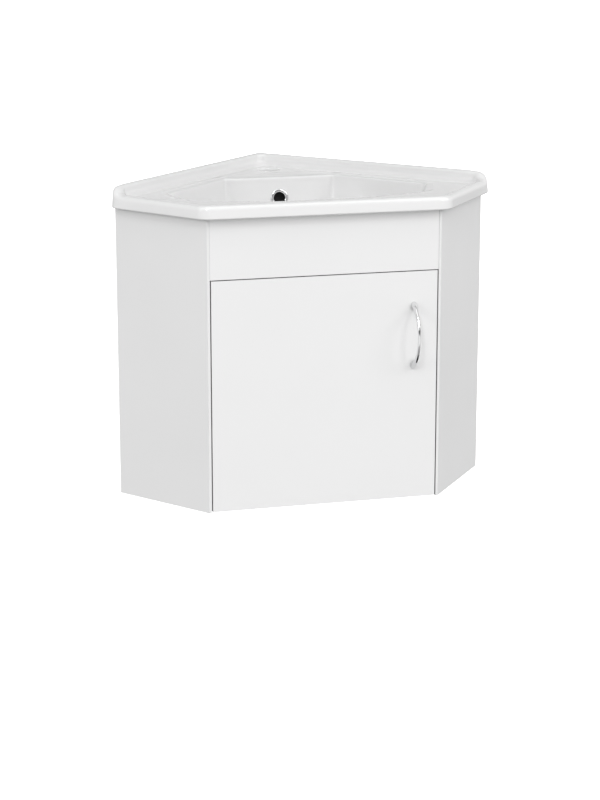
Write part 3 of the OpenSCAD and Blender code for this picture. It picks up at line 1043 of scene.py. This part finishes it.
    def outline(self, back: float, corners: list[Corner], front: float,
                last: tuple[float, ...] = ()) -> Ring:
        """A closed outline at this basin's fineness."""
        return closed_outline(back, corners, front, last, self.finer)

    # The edge: upstand, rim and underside

    def upstand_at(self, step: float) -> tuple[float, float]:
        """The upstand's section: distance from the wall and height.

        Args:
            step: From 0 on the outer face over the rounded top and down the inner
                face to the last step, at the foot of the cove.

        Returns:
            The two measures.
        """
        if step <= self.round_steps:
            angle, r = math.pi * step / self.round_steps, self.upstand_t / 2
            return r - r * math.cos(angle), self.cabinet_h + self.upstand_h - r + r * math.sin(angle)
        angle, r = math.pi / 2 * (step - self.round_steps) / self.cove_steps, self.cove_r
        return self.upstand_t + r - r * math.cos(angle), self.deck_z + r - r * math.sin(angle)

    def rim_at(self, step: float) -> tuple[float, float]:
        """The rim's section: distance from the edge and height.

        Args:
            step: From 0 on the outer face over the crest and down the inner slope, by the
                same steps as the upstand's.

        Returns:
            The two measures.
        """
        crest = self.round_steps / 2
        if step <= crest:
            angle = math.pi * step / self.round_steps
            drop = self.rim_rise * (1 - math.sin(angle))
            return self.rim_run * (1 - math.cos(angle)), self.cabinet_h + self.rim_h - drop
        share = (step - crest) / (crest + self.cove_steps)
        fall = (1 + math.cos(math.pi * share)) / 2
        return blend(self.rim_run, self.rim_foot, share), self.deck_z + (self.rim_h - self.deck_h) * fall

    def edge_outline(self, walls: float, edges: float, cut: float, end_r: float, front_r: float) -> Ring:
        """The basin's outline.

        Args:
            walls: How far it is in from the room walls.
            edges: How far it is in from the free edges.
            cut: How far the room corner is cut back.
            end_r: Radius of the corners at the ends of the walls.
            front_r: Radius of the front corners.

        Returns:
            The outline.
        """
        wall_p = self.wall_in * walls
        side_p = self.wall_end - self.side_in * (self.overhang - edges)
        front_p = Vector((0, -self.front_depth - self.overhang + edges))
        apex = meet(wall_p, self.wall, Vector((0, 0)), Vector((0, 1)))
        end = meet(wall_p, self.wall, side_p, self.side)
        front = meet(side_p, self.side, front_p, Vector((1, 0)))
        return self.outline(apex.y - cut, [
            Corner(tuple(apex - Vector((cut, cut))), cut * 2, 3), Corner(tuple(end), end_r, 6, even(6)),
            Corner(tuple(front), front_r, 5, self.side_stops)], front_p.y, even(3))

    def turns(self, inset: float, gain: tuple[float, float, float]) -> tuple[float, float, float]:
        """The cut and the two radii of an outline that lies further in.

        Args:
            inset: How far in from the edge it lies.
            gain: What the cut and the two radii gain for each millimetre of that.

        Returns:
            The cut, the radius at the ends of the walls and the radius in front.
        """
        base = (self.corner_cut, self.end_r, self.front_r)
        cut, end_r, front_r = (size + inset * more for size, more in zip(base, gain))
        return cut, max(self.least_r[0], end_r), max(self.least_r[1], front_r)

    def tallness(self, off: Vector) -> float:
        """How much of a place on the outline is upstand: 1 on it, 0 on the rim.

        Args:
            off: The place, seen from the end of the left wall.

        Returns:
            The share.
        """
        far = 1 - min(1.0, max(0.0, off.dot(self.side_in) / self.nose_run))
        nose = 1 - self.nose_share + self.nose_share * math.sqrt(1 - far * far)
        return nose * (1 - ease(off.dot(self.side) / self.side_fall))

    def leaning(self, off: Vector) -> float:
        """How far the end of the upstand leans at that place, for each millimetre of height."""
        return (1 - ease(off.length / self.lean_reach)) * self.end_lean / self.upstand_h

    def edge_ring(self, wall: tuple[float, float], rim: tuple[float, float], cut: float,
                  end_r: float, front_r: float) -> Ring:
        """A ring round the edge.

        Args:
            wall: How far it is in from the room walls, and its height there.
            rim: How far it is in from the free edges, and its height there.
            cut: How far the room corner is cut back.
            end_r: Radius of the corners at the ends of the walls.
            front_r: Radius of the front corners.

        Returns:
            The ring.
        """
        corner = meet(Vector((0, 0)), self.wall, self.wall_end - self.side_in * self.overhang, self.side)
        outer = self.edge_outline(0, 0, self.corner_cut, self.end_r, self.front_r)
        ring = []
        for p, rim_p in zip(self.edge_outline(wall[0], rim[0], cut, end_r, front_r), outer):
            off = Vector((-abs(rim_p.x), rim_p.y)) - corner
            z = blend(rim[1], wall[1], self.tallness(off))
            lean = self.leaning(off) * (z - self.cabinet_h) * math.sqrt(0.5)
            side = math.copysign(1, p.x) if abs(p.x) > 1e-6 else 0
            ring.append(Vector((p.x - side * lean, p.y + lean, z)))
        return ring

    def over_edge(self) -> list[Ring]:
        """The upper side of the edge.

        Returns:
            Rings from the deck over the edge to the outer face.
        """
        rings = []
        for count in range((self.round_steps + self.cove_steps) * self.finer, -1, -1):
            step = count / self.finer
            wall, rim = self.upstand_at(step), self.rim_at(step)
            rings.append(self.edge_ring(wall, rim, *self.turns(wall[0], self.over_gain)))
        return rings

    def under_edge(self) -> list[Ring]:
        """The eased lower edge of the outer face.

        Returns:
            Rings from the outer face to the underside.
        """
        r = self.under_r
        rings = []
        for angle in quarter(self.finer):
            inset, z = r * (1 - math.cos(angle)), self.cabinet_h + r * (1 - math.sin(angle))
            rings.append(self.edge_ring((inset, z), (inset, z), *self.turns(inset, self.under_gain)))
        return rings

    # The bowl

    def dip_at(self, y: float) -> float:
        """How much lower the deck is at a place y, in front of the bowl."""
        return self.front_dip * ease((-y - self.dip_start) / self.dip_run)

    def dipped(self, ring: Ring, below: float, share: float = 1.0) -> Ring:
        """An outline a little below the deck, with the deck's dip in front."""
        return [Vector((p.x, p.y, self.deck_z - below - share * self.dip_at(p.y))) for p in ring]

    def wall_at(self, z: float) -> Ring:
        """The bowl's wall at a height."""
        share = (z - self.wall_low) / (self.wall_high - self.wall_low)
        return lifted(mixed(self.wall_foot, self.wall_top, share), z)

    def waste_flat(self, z: float) -> Ring:
        """The edge of the round flat about the waste, at a height."""
        return lifted([self.waste + (p - self.waste).normalized() * self.flat_r for p in self.wall_foot], z)

    def bowl(self) -> list[Ring]:
        """The inside of the bowl.

        Returns:
            Rings from the waste up the bowl to the deck.
        """
        curve = [lifted(grown(self.wall_foot, -self.bowl_r * (1 - math.cos(angle))),
                        self.wall_low - self.bowl_r * math.sin(angle)) for angle in quarter(6)[::-1]]
        # How far from its foot and from its top the straight wall has a ring
        above_foot, below_top = 30, 10
        wall = [self.wall_at(self.wall_low + above_foot), self.wall_at(self.wall_high - below_top)]
        # The rounded edge: how far out its bend is, how far the bend and the bowl's outline
        # are below the deck, and how far outside that the deck starts, with its share of the dip
        bend_share, bend_drop, outline_drop, deck_off, deck_share = 0.2, 1.9, 0.5, 4, 0.7
        bend = mixed(self.wall_top, self.rim_outline, bend_share)
        edge = [self.dipped(self.wall_top, self.edge_drop), self.dipped(bend, bend_drop),
                self.dipped(self.rim_outline, outline_drop),
                self.dipped(grown(self.rim_outline, deck_off), 0, deck_share)]
        return smoothed([self.waste_flat(self.floor_z), *curve, *wall, *edge], 3)

    def shell(self) -> list[Ring]:
        """The outside of the bowl.

        Returns:
            Rings from the underside of the deck down to the waste.
        """
        t, r = self.shell_t, self.bowl_r
        # The middle of the bend at the walls' foot: its share of the radius inwards and
        # down, and the share of the thickness that it lies below the bowl
        inwards, down, below = 0.3, 0.71, 0.7
        # How far the flare under the deck reaches outwards and down
        flare_out, flare_drop = 3, 5
        return [lifted(grown(self.wall_top, t + flare_out), self.cabinet_h),
                lifted(grown(self.wall_top, t), self.cabinet_h - flare_drop),
                lifted(grown(self.wall_foot, t), self.wall_low),
                lifted(grown(self.wall_foot, t - r * inwards), self.wall_low - r * down - t * below),
                lifted(grown(self.wall_foot, -r), self.floor_z + self.floor_fall - t),
                self.waste_flat(self.floor_z - t)]

    # Holes and the overflow

    def on_back_wall(self) -> Matrix:
        """Where the overflow is.

        Returns:
            The place in metres, with +Z pointing out of the bowl's back wall.
        """
        z = self.cabinet_h + self.overflow_h
        lean = math.atan((self.back_top - self.back_foot) / (self.wall_high - self.wall_low))
        y = self.wall_at(z)[0].y
        return Matrix.Translation(Vector((0, y, z)) * MM) @ Matrix.Rotation(math.pi / 2 - lean, 4, "X")

    def behind_bowl(self, off: float, top: float) -> Ring:
        """A line in the middle plane that stays a distance outside the bowl.

        Args:
            off: The distance.
            top: The height at which it starts.

        Returns:
            Its points, down behind the back wall and on under the floor to the waste.
        """
        centre = Vector((0, self.back_foot - self.bowl_r, self.wall_low))
        reach, low = self.bowl_r + off, self.floor_z - off
        bend = [centre + Vector((0, math.cos(a), -math.sin(a))) * reach for a in quarter(12)]
        return [Vector((0, self.wall_at(top)[0].y + off, top)), *bend,
                Vector((0, self.flat_r - self.waste_y, low)), Vector((0, -self.waste_y, low))]

    def band(self, half: float, near: float, far: float, top: float) -> Mesh:
        """The solid between two such lines, a distance out on each side of the middle plane."""
        side = self.behind_bowl(near, top) + self.behind_bowl(far, top)[::-1]
        return prism([p - Vector((half, 0, 0)) for p in side], Vector((2 * half, 0, 0)))

    @staticmethod
    def upright(profile: list[tuple[float, float]], distance: float) -> Mesh:
        """A closed profile turned round an upright axis.

        Args:
            profile: Points (radius, height).
            distance: How far the axis is from the room corner.

        Returns:
            The solid, in metres.
        """
        tool = turned(profile)
        bmesh.ops.translate(tool, verts=tool.verts, vec=Vector((0, -distance, 0)) * MM)
        return tool

    def boss(self) -> Mesh:
        """The boss round the waste hole, under the bowl.

        Returns:
            The solid, in metres. Its top is inside the bowl's wall.
        """
        r, bevel, sunk = self.waste_d / 2 + self.boss_t, 1, 3
        low, top = self.floor_z - self.boss_h, self.floor_z - sunk
        profile = [(0, low), (r - bevel, low), (r, low + bevel), (r, top), (0, top)]
        return self.upright(profile, self.waste_y)

    def tap_tool(self) -> Mesh:
        """What the tap hole takes away.

        Returns:
            A bore whose upper edge is rounded, in metres.
        """
        bore, lip, beyond, proud = self.tap_d / 2, self.tap_lip, 5, 0.05
        low, top, edge_z = self.cabinet_h - beyond, self.deck_z + beyond, self.deck_z - lip + proud
        curve = [(bore + lip - lip * math.cos(a), edge_z + lip * math.sin(a)) for a in quarter(10)]
        return self.upright([(0, low), (bore, low), *curve, (bore + lip, top), (0, top)], self.tap_y)

    def waste_tool(self) -> Mesh:
        """What the waste hole takes away.

        Returns:
            A bore under a shallow seat with a soft edge, in metres.
        """
        bore, seat_r, bevel, soft, proud = self.waste_d / 2, self.waste_seat_d / 2, 1.2, 1, 0.05
        below, above, seat_z = 40, 6, self.floor_z - self.seat_depth
        low, top = self.floor_z - below, self.floor_z + above
        edge = [(bore, seat_z - bevel), (bore + bevel, seat_z), (seat_r - soft, seat_z),
                (seat_r, self.floor_z + proud)]
        return self.upright([(0, low), (bore, low), *edge, (seat_r, top), (0, top)], self.waste_y)

    def overflow_tool(self) -> Mesh:
        """What the overflow hole takes away.

        Returns:
            A short bore through the back wall, in metres.
        """
        r, back, front = self.overflow_d / 2, -14, 16
        tool = turned([(0, back), (r, back), (r, front), (0, front)], 64)
        bmesh.ops.transform(tool, matrix=self.on_back_wall(), verts=tool.verts)
        return tool

    def outside_bowl(self, p: Vector) -> float:
        """How far outside the bowl a place near the middle plane is.

        Args:
            p: The place.

        Returns:
            The distance. It is negative inside the bowl.
        """
        if p.z >= self.wall_low:
            return p.y - self.wall_at(p.z)[0].y
        centre = Vector((self.back_foot - self.bowl_r, self.wall_low))
        if p.y > centre.x:
            return (p.yz - centre).length - self.bowl_r
        return self.floor_z - p.z

    def paint_channel_shade(self, made: Piece) -> None:
        """Paints the inside of the overflow channel, which no light reaches, near black: painted shade on
        glaze that is as white as the rest.

        Args:
            made: The basin.
        """
        # Painted shade: the faces inside the channel get a near black material
        made.data.materials.append(PAINTED_CHANNEL_SHADE.material())
        painted_shade_index = len(made.data.materials) - 1
        near, far, slack = self.shell_t, self.shell_t + self.channel_depth, 0.1
        for face in made.data.polygons:
            p = face.center / MM
            in_width = abs(p.x) < self.channel_half + slack
            in_depth = near - slack < self.outside_bowl(p) < far + slack
            under_roof = p.z < self.channel_roof + slack
            if in_width and in_depth and under_roof and (p.xy - self.waste).length > self.waste_d / 2:
                face.material_index = painted_shade_index

    def basin(self) -> Piece:
        """The basin, carved from one skin.

        Returns:
            The piece.
        """
        edge, bowl = self.over_edge(), self.bowl()
        deck = stepped(bowl[-1], edge[0], self.deck_steps)
        poles = tuple(Vector((0, -self.waste_y, z)) for z in (self.floor_z, self.floor_z - self.shell_t))
        rings = [*bowl, *deck, *edge, *self.under_edge(), *self.shell()]
        made = as_object("moulded_basin", skin(rings, poles))
        half, roof, t = self.channel_half, self.channel_roof, self.channel_t
        far = self.shell_t + self.channel_depth
        # How far outside the bowl the channel's own wall starts, and how far it rises into the deck
        start, rise = 2, t + 2
        for tool in (self.boss(), self.band(half + t, start, far + t, roof + rise)):
            carve(made, tool, Cut.ADD)
        channel = self.band(half, self.shell_t, far, roof)
        for tool in (channel, self.tap_tool(), self.waste_tool(), self.overflow_tool()):
            carve(made, tool, Cut.TAKE)
        shade_round(made, 38)
        return made

    def overflow_ring(self) -> Piece:
        """The chrome ring, turned with a rounded face.

        Returns:
            The piece.
        """
        r = self.overflow_d / 2
        inner, outer, sleeve, sleeve_end = r - 1.9, r + 3.7, r - 0.3, -7
        face = [(outer, 0.1), (outer, 0.7), (outer - 0.3, 1.3), (outer - 1.1, 1.9), (outer - 2.3, 2.25),
                (outer - 3.4, 2.2), (outer - 4.4, 1.7), (inner + 0.4, 1.0), (inner, 0.2)]
        profile = [(sleeve, 0.1), *face, (inner, sleeve_end), (sleeve, sleeve_end)]
        made = as_object("overflow_trim", turned(profile))
        made.data.transform(self.on_back_wall())
        shade_round(made, 60)
        return made

    def build(self) -> None:
        """Builds and dresses the basin and its ring."""
        basin = self.basin()
        seat(basin, GLAZE, Body.CABINET, "basin")
        self.paint_channel_shade(basin)
        seat(self.overflow_ring(), CHROME, Body.CABINET, "overflow_ring")


# ---- Door ------------------------------------------------------------------------


@dataclass
class Handle:
    """The bow handle.

    Attributes:
        pitch: Distance between its screws.
        out: How far it stands out from the door.
        x: Its distance from the middle of the door.
        z: Height of its middle.
        face_y: Where the door's face is.
        foot_size: Width and depth of its section at the feet.
        waist_size: Width and depth of its section in the middle.
        waist_in: How much less than `out` its middle line stands out.
        foot_out: How far its feet lie outside the screws.
        taper: How late its section grows towards the feet.
        steps: Steps from the middle to a foot.
        sides: Steps round its section.
    """

    pitch: float = 96
    out: float = 36
    x: float = 144
    z: float = 268.6
    face_y: float = -450
    foot_size: tuple[float, float] = (8.6, 10.6)
    waist_size: tuple[float, float] = (4.4, 5.6)
    waist_in: float = 5
    foot_out: float = 1
    taper: float = 2.2
    steps: int = 72
    sides: int = 40

    def ring(self, t: float) -> Ring:
        """A ring round the bow.

        Args:
            t: Where it is, from -1 at the lower foot to 1 at the upper one.

        Returns:
            The ring. At a foot it lies on the door's face.
        """
        rise, foot = self.out - self.waist_in, self.pitch / 2 + self.foot_out
        radius = (foot ** 2 + rise ** 2) / (2 * rise)
        angle = t * math.asin(foot / radius)
        share = abs(t) ** self.taper
        wide, deep = (blend(w, f, share) / 2 for w, f in zip(self.waist_size, self.foot_size))
        out = rise - radius * (1 - math.cos(angle))
        on_door = abs(t) == 1
        found = []
        for k in range(self.sides):
            turn = 2 * math.pi * k / self.sides
            y = out + deep * math.sin(turn) * math.cos(angle)
            z = radius * math.sin(angle) + deep * math.sin(turn) * math.sin(angle)
            slide = y / math.tan(angle) if on_door else 0
            found.append(Vector((self.x + wide * math.cos(turn), self.face_y - (0 if on_door else y),
                                 self.z + z + slide)))
        return found

    def build(self) -> None:
        """Builds and dresses the handle."""
        rings = [self.ring(k / self.steps) for k in range(-self.steps, self.steps + 1)]
        foot = self.pitch / 2 + self.foot_out
        poles = tuple(Vector((self.x, self.face_y, self.z + side * foot)) for side in (-1, 1))
        made = as_object("bow_handle", skin(rings, poles))
        shade_round(made, 60)
        seat(made, CHROME, Body.DOOR, "handle")


@dataclass
class Door:
    """The door and all that is fixed to it.

    Attributes:
        edge: Easing of the door's edges.
        handle: The handle.
    """

    edge: float = 0.9
    handle: Handle = field(default_factory=Handle)

    def build(self) -> None:
        """Builds and dresses the door and its fittings."""
        ease_nodes(("door",), LACQUER, Body.DOOR, self.edge)
        dress_nodes(("door_buffers",), BUMPER)
        dress_nodes(("handle_screws", "cup_screws"), ZINC)
        self.handle.build()


@dataclass
class Hinges:
    """The two hinges: cups and pins on the door, arms and plates on the cabinet.

    Attributes:
        edge: Easing of the pressed parts.
        heights: What the names of the two hinges start with.
    """

    edge: float = 0.25
    heights: tuple[str, str] = ("lower", "upper")

    def named(self, part: str) -> tuple[str, ...]:
        """The nodes of a part at both heights."""
        return tuple(f"{height}_hinge_{part}" for height in self.heights)

    def build(self) -> None:
        """Builds and dresses both hinges."""
        dress_nodes(self.named("cup"), NICKEL)
        dress_nodes(self.named("pin"), NICKEL)
        ease_nodes(self.named("arm") + self.named("plate"), NICKEL, Body.CABINET, self.edge)
        dress_nodes(("plate_screws",), ZINC)


# ---- Studio ----------------------------------------------------------------------


@dataclass(frozen=True)
class SoftBox:
    """A soft light that faces the unit from a distance of a few metres.

    Attributes:
        name: Its name.
        turn: Degrees round from the front, positive towards the right.
        height: Degrees above the horizon.
        power: Its power, in watts.
        size: Its width and height, in metres.
        distance: How far it is from the point it faces, in metres.
        aim: The point that it faces, in metres.
    """

    name: str
    turn: float
    height: float
    power: float
    size: tuple[float, float]
    distance: float = 9
    aim: tuple[float, float, float] = (0, -0.3, 0.3)

    def build(self) -> None:
        """Adds the light to the scene."""
        lamp = bpy.data.lights.new(self.name, "AREA")
        lamp.shape = "RECTANGLE"
        lamp.size, lamp.size_y = self.size
        lamp.energy = self.power
        made = bpy.data.objects.new(self.name, lamp)
        turn, height = math.radians(self.turn), math.radians(self.height)
        flat = Vector((math.sin(turn), -math.cos(turn), 0)) * math.cos(height)
        out = flat + Vector((0, 0, math.sin(height)))
        made.location = Vector(self.aim) + out * self.distance
        made.rotation_euler = out.to_track_quat("Z", "Y").to_euler()
        bpy.context.scene.collection.objects.link(made)


@dataclass
class Studio:
    """The camera, the floor and the light.

    Attributes:
        floor_z: Height of the floor, in metres.
        floor_half: Half the floor's width, in metres.
        floor_glow: How bright the floor shows.
        front_sky: Brightness of the surroundings before the unit, as (height, tone)
            pairs with the height from 0 straight below to 1 straight above.
        back_sky: The same behind the unit.
        sky_turn: Half the share of the round over which one changes into the other.
        sky_strength: How bright both are.
        boxes: The soft lights.
    """

    floor_z: float = -4.0
    floor_half: float = 60
    floor_glow: float = 1.3
    front_sky: tuple[tuple[float, float], ...] = (
        (0.05, 0.0), (0.08, 0.32), (0.22, 0.36), (0.29, 0.80), (0.48, 0.80), (0.52, 0.15), (0.66, 0.12),
        (0.80, 0.05), (0.84, 1.0))
    back_sky: tuple[tuple[float, float], ...] = (
        (0.24, 0.10), (0.30, 0.34), (0.48, 0.36), (0.54, 0.57), (0.66, 0.56), (0.70, 0.34), (0.82, 0.26),
        (0.88, 0.02))
    sky_turn: float = 0.15
    sky_strength: float = 1.25
    boxes: tuple[SoftBox, ...] = (
        SoftBox("left_light", -27, 36, 187, (1.4, 4.0)),
        SoftBox("side_left_light", -62, 18, 118, (2.4, 3.5)),
        SoftBox("right_light", 30, 29, 99, (1.6, 5.0)),
        SoftBox("side_right_light", 60, 27, 158, (2.6, 4.5)),
    )

    def camera(self) -> None:
        """Adds the camera, at the photograph's angle and with its framing."""
        focal_px, frame_px, centre_px = 2080.57, 800, 340
        yaw, pitch = 0.255, 0.229
        lens = bpy.data.cameras.new("camera")
        lens.sensor_width = 36
        lens.lens = focal_px / frame_px * lens.sensor_width
        lens.shift_y = (centre_px - frame_px / 2) / frame_px
        lens.clip_end = 500
        made = bpy.data.objects.new("camera", lens)
        made.location = (-0.8394, -3.5107, 1.0092)
        made.rotation_euler = (math.pi / 2 - pitch, 0, -yaw)
        bpy.context.scene.collection.objects.link(made)
        bpy.context.scene.camera = made

    def floor(self) -> None:
        """Adds the plain pale floor."""
        mesh = bmesh.new()
        bmesh.ops.create_grid(mesh, x_segments=1, y_segments=1, size=self.floor_half)
        made = as_object("studio_floor", mesh)
        made.location.z = self.floor_z
        made.visible_glossy = False
        made.visible_diffuse = False
        made.visible_shadow = False
        bench = Bench("floor_paint")
        bench.feed(bench.tint(bench.grain(2), *grey(0.9, 0.92)), "Base Color")
        bench.hold(Roughness=0.9, Specular_IOR_Level=0.0)
        bench.hold(Emission_Color=(1, 1, 1, 1), Emission_Strength=self.floor_glow)
        made.data.materials.append(bench.material)

    def surroundings(self) -> None:
        """Lights the scene from all round. The camera sees plain white instead."""
        world = bpy.data.worlds.new("studio_sky")
        bpy.context.scene.world = world
        world.use_nodes = True
        sky = Wiring(world.node_tree)
        split = sky.add("ShaderNodeSeparateXYZ")
        sky.join(sky.add("ShaderNodeTexCoord").outputs["Generated"], split.inputs[0])
        height = sky.mapped(split.outputs["Z"], (-1, 1))
        mix = sky.add("ShaderNodeMixRGB")
        sky.join(sky.mapped(split.outputs["Y"], (-self.sky_turn, self.sky_turn)), mix.inputs["Fac"])
        for tones, name in ((self.front_sky, "Color1"), (self.back_sky, "Color2")):
            marks = [(place, (tone, tone, tone)) for place, tone in tones]
            sky.join(sky.ramp(height, marks), mix.inputs[name])
        seen = sky.add("ShaderNodeMixRGB", Color2=(1, 1, 1, 1))
        sky.join(sky.add("ShaderNodeLightPath").outputs["Is Camera Ray"], seen.inputs["Fac"])
        sky.join(mix.outputs["Color"], seen.inputs["Color1"])
        background = sky.first("BACKGROUND")
        sky.join(seen.outputs["Color"], background.inputs["Color"])
        background.inputs["Strength"].default_value = self.sky_strength

    def build(self) -> None:
        """Adds the camera, the floor and every light."""
        bpy.context.scene.view_settings.view_transform = "Standard"
        self.camera()
        self.floor()
        self.surroundings()
        for box in self.boxes:
            box.build()


def main() -> None:
    """Builds every sub-assembly and the studio."""
    logging.basicConfig(level=logging.INFO, format="%(name)s: %(message)s")
    Studio().build()
    for assembly in (Cabinet(), Basin(), Door(), Hinges()):
        assembly.build()


if __name__ == "__main__":
    main()
